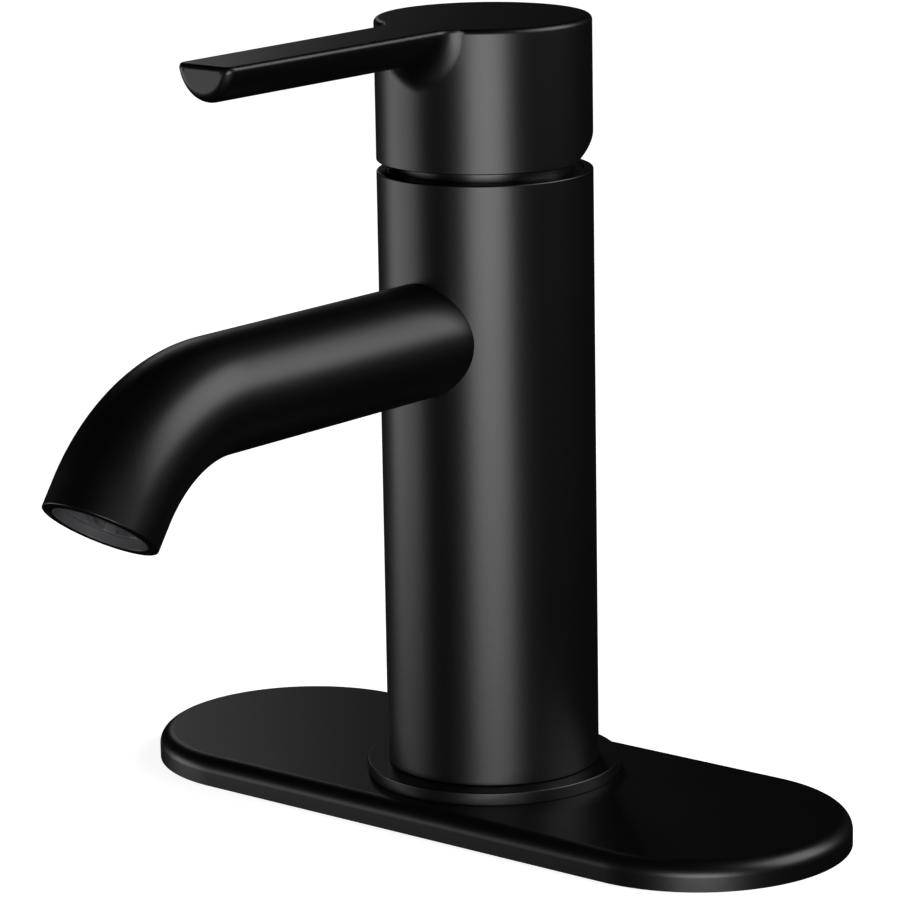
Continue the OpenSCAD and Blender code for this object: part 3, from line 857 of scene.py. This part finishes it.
class MIXER_OT_handle(bpy.types.Operator):
    """Make the handle: a turned head, and a half-round lever that flares into it"""
    bl_idname = "mixer.handle"
    bl_label = "Handle"

    def execute(self, context):
        s = context.scene.mixer_sizes
        foot_edge = 0.25 * MM
        handle = turned(
            "lever_handle", 0, BODY_R, HANDLE_LOW.z, HANDLE_HIGH.z,
            top=s.head_edge, bottom=foot_edge, cuts=26)
        carve(handle, self.lever(s), "UNION")
        carve(handle, rod(
            "hollow", BODY_R - s.head_wall, (0, 0, HANDLE_LOW.z - OVER),
            (0, 0, HEAD_TOP - s.head_roof), SIDES))
        self.fit_inside(handle, s)
        self.cut_relief(handle, s)
        finish_piece(handle, "lever", "satin_black", FINISHES["satin_black"], "handle")
        return {"FINISHED"}

    def lever(self, s):
        """The bar, from its tip to inside the head, flared where it meets the head's side."""
        deselect()
        bpy.ops.mesh.primitive_circle_add(
            vertices=96, radius=s.lever_r, fill_type="NGON",
            location=(0, HANDLE_LOW.y, HEAD_TOP + s.lever_sink), rotation=(math.pi / 2, 0, 0))
        lever = added("lever")
        settle(lever)
        with Editing(lever) as edit:
            edit.all()
            bpy.ops.mesh.bisect(
                plane_co=(0, 0, HEAD_TOP), plane_no=(0, 0, 1), clear_outer=True, threshold=TINY)
            room = s.lever_edge * 1.15
            edit.pick("VERT", lambda p: HEAD_TOP - room < p.z < HEAD_TOP - TINY)
            bpy.ops.mesh.dissolve_verts()
            edit.pick("VERT", lambda p: near(p.z, HEAD_TOP) and abs(p.x) > s.lever_r / 2)
            bpy.ops.mesh.bevel(
                offset=s.lever_edge, segments=ROUND_STEPS, affect="VERTICES", clamp_overlap=False)
            edit.pick("EDGE", lambda p: near(p.z, HEAD_TOP))
            bpy.ops.mesh.subdivide(number_cuts=15)
            self.draw_out(edit, s)
            edit.close_up()
        return lever

    def draw_out(self, edit, s):
        """Draws the section out ring by ring: round the tip, along the bar and out through the fillet."""
        mesh = bmesh.from_edit_mesh(edit.piece.data)
        section = [v.co.copy() for v in mesh.verts]
        rings = [[self.round_tip(p, turn, s) for p in section] for turn in angles(ROUND_STEPS)]
        rings += [[self.flare(p, turn, 0, s) for p in section] for turn in angles(18, ROOT_ARC)]
        rings += [[self.flare(p, ROOT_ARC, depth, s) for p in section] for depth in ROOT_DEPTHS]
        rings.append([Vector((p.x, -BODY_R / 2, p.z)) for p in rings[-1]])
        self.place_ring(edit, mesh.verts, section, rings[0])
        for last, ring in zip(rings, rings[1:]):
            edit.pick("VERT", lambda p: min((p - q).length for q in last) < TINY)
            bpy.ops.mesh.extrude_edges_move()
            mesh = bmesh.from_edit_mesh(edit.piece.data)
            self.place_ring(edit, [v for v in mesh.verts if v.select], last, ring)
        bpy.ops.mesh.edge_face_add()

    def place_ring(self, edit, verts, last, ring):
        """Moves each vertex from its place in one ring to its place in the next."""
        for v in verts:
            v.co = ring[min(range(len(last)), key=lambda k: (v.co - last[k]).length)]
        bmesh.update_edit_mesh(edit.piece.data)

    def outward(self, p, s):
        """Which way a point of the section faces, and how far round from straight down, from 0 to 1."""
        edge_z = HEAD_TOP - s.lever_edge
        if p.z > edge_z - TINY:
            edge_x = s.lever_r - s.lever_edge
            return Vector((max(-1, min(1, p.x / edge_x)), 0, 0)), 1.0
        centre_z = HEAD_TOP + s.lever_sink
        turn = math.atan2(abs(p.x), centre_z - p.z)
        last = math.atan2(s.lever_r, s.lever_sink + s.lever_edge)
        return Vector((p.x, 0, p.z - centre_z)).normalized(), min(1.0, turn / last)

    def round_tip(self, p, turn, s):
        way, _ = self.outward(p, s)
        inset = s.tip_edge * (1 - math.sin(turn))
        back = s.tip_edge * (1 - math.cos(turn))
        place = p - way * inset
        if p.z > HEAD_TOP - s.lever_edge:
            left = max(0, s.lever_edge - back)
            place.z -= s.lever_edge - math.sqrt(s.lever_edge ** 2 - left ** 2)
        place.x *= s.tip_taper
        place.y = HANDLE_LOW.y + back
        return place

    def flare(self, p, turn, inside, s):
        """A point of the fillet: how far round its arc it is, and how deep inside the head's wall."""
        way, share = self.outward(p, s)
        r = s.root_belly + (s.root_side - s.root_belly) * share
        out = r * (1 - math.cos(turn))
        gap = r * (1 - math.sin(turn)) - inside
        if inside:
            out += s.root_bury * min(1, (HEAD_TOP - p.z) / (2 * s.head_edge))
        place = p + way * out
        place.y = -math.sqrt(BODY_R ** 2 - place.x ** 2) - gap
        return place

    def fit_inside(self, handle, s):
        """The boss that takes the stem's sleeve, and the screw's hole behind the index plug."""
        ceiling = HEAD_TOP - s.head_roof
        inside_r = BODY_R - s.head_wall
        socket = SLEEVE_HIGH.x + 0.05 * MM      # half the socket's width, clear of the sleeve
        socket_top = SLEEVE_HIGH.z + 0.2 * MM
        rib = 4.5 * MM                          # half the rib's width
        screw_r = 2.6 * MM
        boss_z = HANDLE_LOW.z + s.boss_lift
        carve(handle, rod("boss", s.boss_r, (0, 0, boss_z), (0, 0, ceiling + OVER)), "UNION")
        carve(handle, block(
            "rib", (-rib, 0, SCREW_Z - rib), (rib, inside_r + s.head_wall / 5, SCREW_Z + rib)), "UNION")
        carve(handle, block(
            "socket", (-socket, -socket, boss_z - OVER), (socket, socket, socket_top)))
        carve(handle, rod("screw_hole", screw_r, (0, 0, SCREW_Z), (0, BODY_R + OVER, SCREW_Z)))
        carve(handle, rod(
            "plug_hole", PLUG_HIGH.x + s.plug_gap, (0, PLUG_LOW.y, SCREW_Z), (0, BODY_R + OVER, SCREW_Z)))

    def cut_relief(self, handle, s):
        """Slopes the back of the head's foot, so that the lifted handle clears the column."""
        size = 4 * BODY_R
        tool = block("relief", (-size, 0, -size), (size, size, 0))
        tool.location = (0, s.relief_start, HANDLE_LOW.z)
        tool.rotation_euler = (s.relief_angle, 0, 0)
        settle(tool)
        carve(handle, tool)


class MIXER_OT_index_plug(bpy.types.Operator):
    """Make the small plug that covers the set screw at the back of the handle"""
    bl_idname = "mixer.index_plug"
    bl_label = "Index plug"

    def execute(self, context):
        plug_r = PLUG_HIGH.x
        plug = rod("screw_plug", plug_r, (0, PLUG_LOW.y, SCREW_Z), (0, BODY_R + OVER, SCREW_Z))
        skin = rod("skin", PLUG_HIGH.y, (0, 0, HANDLE_LOW.z), (0, 0, HEAD_TOP), SIDES)
        carve(plug, skin, "INTERSECT")
        edge = 0.3 * MM
        outer = BODY_R * 0.95           # everything past this belongs to the outer end
        with Editing(plug) as edit:
            edit.pick("EDGE", lambda p: near(self.from_axis(p), plug_r) and p.y > outer)
            bpy.ops.mesh.bevel(offset=edge, segments=4, affect="EDGES")
        finish_piece(plug, "lever", "black_plastic", FINISHES["black_plastic"], "index_plug")
        return {"FINISHED"}

    def from_axis(self, p):
        return math.hypot(p.x, p.z - SCREW_Z)


# ---------------------------------------------------------------------------
# Stage
# ---------------------------------------------------------------------------

# Each light: name, turn from the front (0 is -Y, 90 is +X), height angle, distance in metres,
# width and height in metres, power in watts.
LIGHTS = (
    ("key", 41, -4, 1.6, 1.15, 0.62, 17.0),
    ("left_strip", -60, -6, 1.6, 1.35, 0.55, 5.6),
    ("right_back", 122, 32, 1.6, 1.40, 1.15, 18.5),
    ("plate_sheen", -128, 20, 1.6, 0.40, 0.22, 0.40),
)


class MIXER_OT_stage(bpy.types.Operator):
    """Set the floor, the lights, the background and the camera"""
    bl_idname = "mixer.stage"
    bl_label = "Stage"

    def execute(self, context):
        stage = context.scene.mixer_stage
        self.floor(stage, context.scene.mixer_colours)
        for light in LIGHTS:
            self.light(*light)
        self.background(context.scene)
        self.camera(stage, context.scene)
        context.scene.view_settings.view_transform = "Standard"
        return {"FINISHED"}

    def floor(self, stage, colours):
        """A pale floor, lit mostly by its own glow. It is clear from below and casts no shadow."""
        glow_strength = 0.9
        below_deck = 0.2 * MM
        deselect()
        bpy.ops.mesh.primitive_plane_add(size=stage.floor_size, location=(0, 0, -below_deck))
        floor = added("floor")
        f = Finish("floor")
        facing = f.add("ShaderNodeNewGeometry", output="Backfacing")
        painted_lit_rims = f.add("ShaderNodeBsdfDiffuse", None, {"Color": (*colours.floor, 1)})
        glow = f.add("ShaderNodeEmission", None, {"Color": (1, 1, 1, 1), "Strength": glow_strength})
        pale = f.add("ShaderNodeAddShader", None, {0: painted_lit_rims, 1: glow})
        clear = f.add("ShaderNodeBsdfTransparent")
        mixed = f.add("ShaderNodeMixShader", None, {0: facing, 1: pale, 2: clear})
        f.add("ShaderNodeOutputMaterial", None, {"Surface": mixed})
        floor.data.materials.append(f.material)
        floor.visible_glossy = False
        floor.visible_diffuse = False
        floor.visible_shadow = False

    def light(self, name, turn, height, distance, width, length, power):
        turn, height = math.radians(turn), math.radians(height)
        way = Vector((
            math.sin(turn) * math.cos(height), -math.cos(turn) * math.cos(height), math.sin(height)))
        target = Vector((0, 0, HEAD_TOP / 2))
        deselect()
        bpy.ops.object.light_add(type="AREA", location=target + way * distance)
        light = bpy.context.object
        light.name = name
        light.rotation_euler = (-way).to_track_quat("-Z", "Y").to_euler()
        light.data.shape = "RECTANGLE"
        light.data.size = width
        light.data.size_y = length
        light.data.energy = power

    def background(self, scene):
        """White behind the mixer, and next to no light from it."""
        fill_strength = 0.004
        world = bpy.data.worlds.new("studio")
        scene.world = world
        world.use_nodes = True
        nodes, links = world.node_tree.nodes, world.node_tree.links
        nodes.clear()
        rays = nodes.new("ShaderNodeLightPath")
        seen = nodes.new("ShaderNodeBackground")
        seen.inputs["Strength"].default_value = 1.0
        seen.inputs["Color"].default_value = (1, 1, 1, 1)
        fill = nodes.new("ShaderNodeBackground")
        fill.inputs["Color"].default_value = (1, 1, 1, 1)
        fill.inputs["Strength"].default_value = fill_strength
        mix = nodes.new("ShaderNodeMixShader")
        output = nodes.new("ShaderNodeOutputWorld")
        links.new(rays.outputs["Is Camera Ray"], mix.inputs[0])
        links.new(fill.outputs[0], mix.inputs[1])
        links.new(seen.outputs[0], mix.inputs[2])
        links.new(mix.outputs[0], output.inputs["Surface"])

    def camera(self, stage, scene):
        turn, height = stage.azimuth, stage.elevation
        back = Vector((
            math.sin(turn) * math.cos(height), -math.cos(turn) * math.cos(height), math.sin(height)))
        right = Vector((math.cos(turn), math.sin(turn), 0))
        target = right * stage.aside + Vector((0, 0, stage.height))
        deselect()
        bpy.ops.object.camera_add(location=target + back * stage.distance)
        camera = bpy.context.object
        camera.name = "camera"
        upright = Matrix((right, back.cross(right), back)).transposed()
        rolled = upright @ Matrix.Rotation(stage.roll, 3, "Z")
        camera.rotation_euler = rolled.to_euler()
        camera.data.lens = stage.lens
        camera.data.clip_start = 0.05
        camera.data.clip_end = 60
        scene.camera = camera


class MIXER_PT_panel(bpy.types.Panel):
    """Lists the mixer's pieces and its settings"""
    bl_idname = "MIXER_PT_panel"
    bl_label = "Basin mixer"
    bl_space_type = "VIEW_3D"
    bl_region_type = "UI"
    bl_category = "Mixer"

    def draw(self, context):
        layout = self.layout
        for step in STEPS:
            layout.operator(step.bl_idname)
        for title, group, kind in (
                ("Sizes", context.scene.mixer_sizes, MixerSizes),
                ("Colours", context.scene.mixer_colours, MixerColours),
                ("Stage", context.scene.mixer_stage, MixerStage)):
            box = layout.box()
            box.label(text=title)
            for name in kind.__annotations__:
                box.prop(group, name)


STEPS = (
    MIXER_OT_stage, MIXER_OT_finishes, MIXER_OT_deck_plate, MIXER_OT_base_ring, MIXER_OT_column,
    MIXER_OT_spout, MIXER_OT_aerator, MIXER_OT_bonnet, MIXER_OT_handle, MIXER_OT_index_plug,
)
CLASSES = (MixerSizes, MixerColours, MixerStage, *STEPS, MIXER_PT_panel)


def register():
    for kind in CLASSES:
        bpy.utils.register_class(kind)
    bpy.types.Scene.mixer_sizes = bpy.props.PointerProperty(type=MixerSizes)
    bpy.types.Scene.mixer_colours = bpy.props.PointerProperty(type=MixerColours)
    bpy.types.Scene.mixer_stage = bpy.props.PointerProperty(type=MixerStage)


def unregister():
    del bpy.types.Scene.mixer_stage
    del bpy.types.Scene.mixer_colours
    del bpy.types.Scene.mixer_sizes
    for kind in reversed(CLASSES):
        bpy.utils.unregister_class(kind)


def main():
    register()
    for step in STEPS:
        group, name = step.bl_idname.split(".")
        getattr(getattr(bpy.ops, group), name)()


if __name__ == "__main__":
    main()
